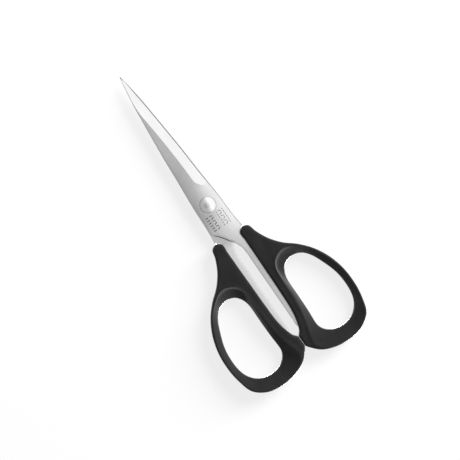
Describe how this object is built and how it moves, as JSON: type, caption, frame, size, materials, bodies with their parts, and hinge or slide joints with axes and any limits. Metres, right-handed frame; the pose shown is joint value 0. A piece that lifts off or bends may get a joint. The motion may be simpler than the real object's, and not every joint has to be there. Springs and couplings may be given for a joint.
{
  "type": "fabric shears",
  "caption": "Sewing shears with slim stainless blades, a plain domed pivot and soft black moulded handles with oval finger loops.",
  "frame": {"origin": "middle of the bounding box's base, with the closed shears lying on their handles", "axes": "+Y towards the tip, +X towards the front half's handle, +Z towards the front, where the domed pivot head is"},
  "size_m": [0.073, 0.1644, 0.011],
  "materials": {
    "blade_steel": "finely ground stainless steel, satin flats and brighter bevels",
    "grip_elastomer": "matte black elastomer with a fine moulded grain",
    "core_plastic": "plain moulded plastic, hidden",
    "pivot_steel": "polished steel"
  },
  "bodies": {
    "rear_half": {"rear_blade": "blade_steel", "rear_grip": "grip_elastomer", "rear_handle_core": "core_plastic", "spring_washer": "pivot_steel"},
    "front_half": {"front_blade": "blade_steel", "front_grip": "grip_elastomer", "front_handle_core": "core_plastic", "pivot_stud": "pivot_steel"},
    "tension_nut": {"pivot_nut": "pivot_steel"}
  },
  "joints": [
    {"name": "blade_pivot", "type": "hinge", "parent": "rear_half", "child": "front_half", "pos_m": [0, 0.00845, 0.0055], "axis": [0, 0, 1], "range_deg": [0, 130]},
    {"name": "tension_adjust", "type": "hinge", "parent": "front_half", "child": "tension_nut", "pos_m": [0, 0.00845, 0.0055], "axis": [0, 0, 1], "range_deg": [-90, 90]}
  ]
}
